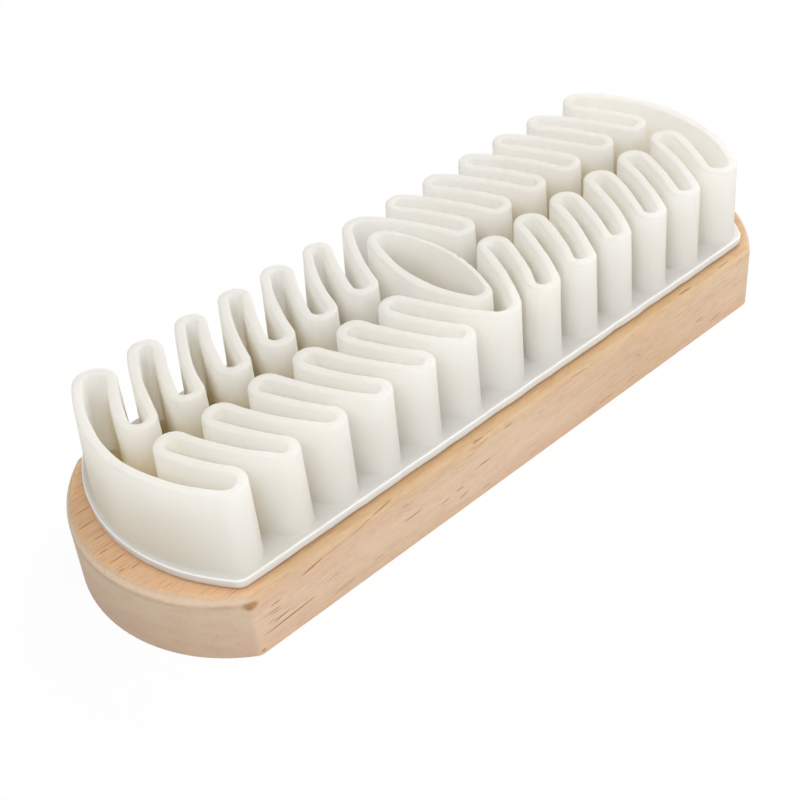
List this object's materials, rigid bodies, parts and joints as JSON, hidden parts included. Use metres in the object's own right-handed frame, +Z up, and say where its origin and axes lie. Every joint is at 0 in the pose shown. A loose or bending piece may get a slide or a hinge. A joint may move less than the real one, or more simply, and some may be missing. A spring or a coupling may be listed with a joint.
{
  "type": "suede brush",
  "caption": "Hand brush for suede: a flat wooden block with rounded ends that carries a pale rubber pad with a folded upright wall and an eye-shaped loop.",
  "frame": {"origin": "middle of the flat underside of the wooden block", "axes": "+X along the brush, +Y across it, +Z up out of the rubber rims"},
  "size_m": [0.13, 0.0416, 0.0279],
  "materials": {
    "beech": "fine sanded bare beech with a thin matt seal",
    "rubber": "matt off-white moulded rubber",
    "glue": "dried contact adhesive"
  },
  "bodies": {
    "root": {"wood_block": "beech", "glue_film": "glue", "base_sheet": "rubber", "fold_wall": "rubber", "eye_loop": "rubber"}
  },
  "joints": []
}
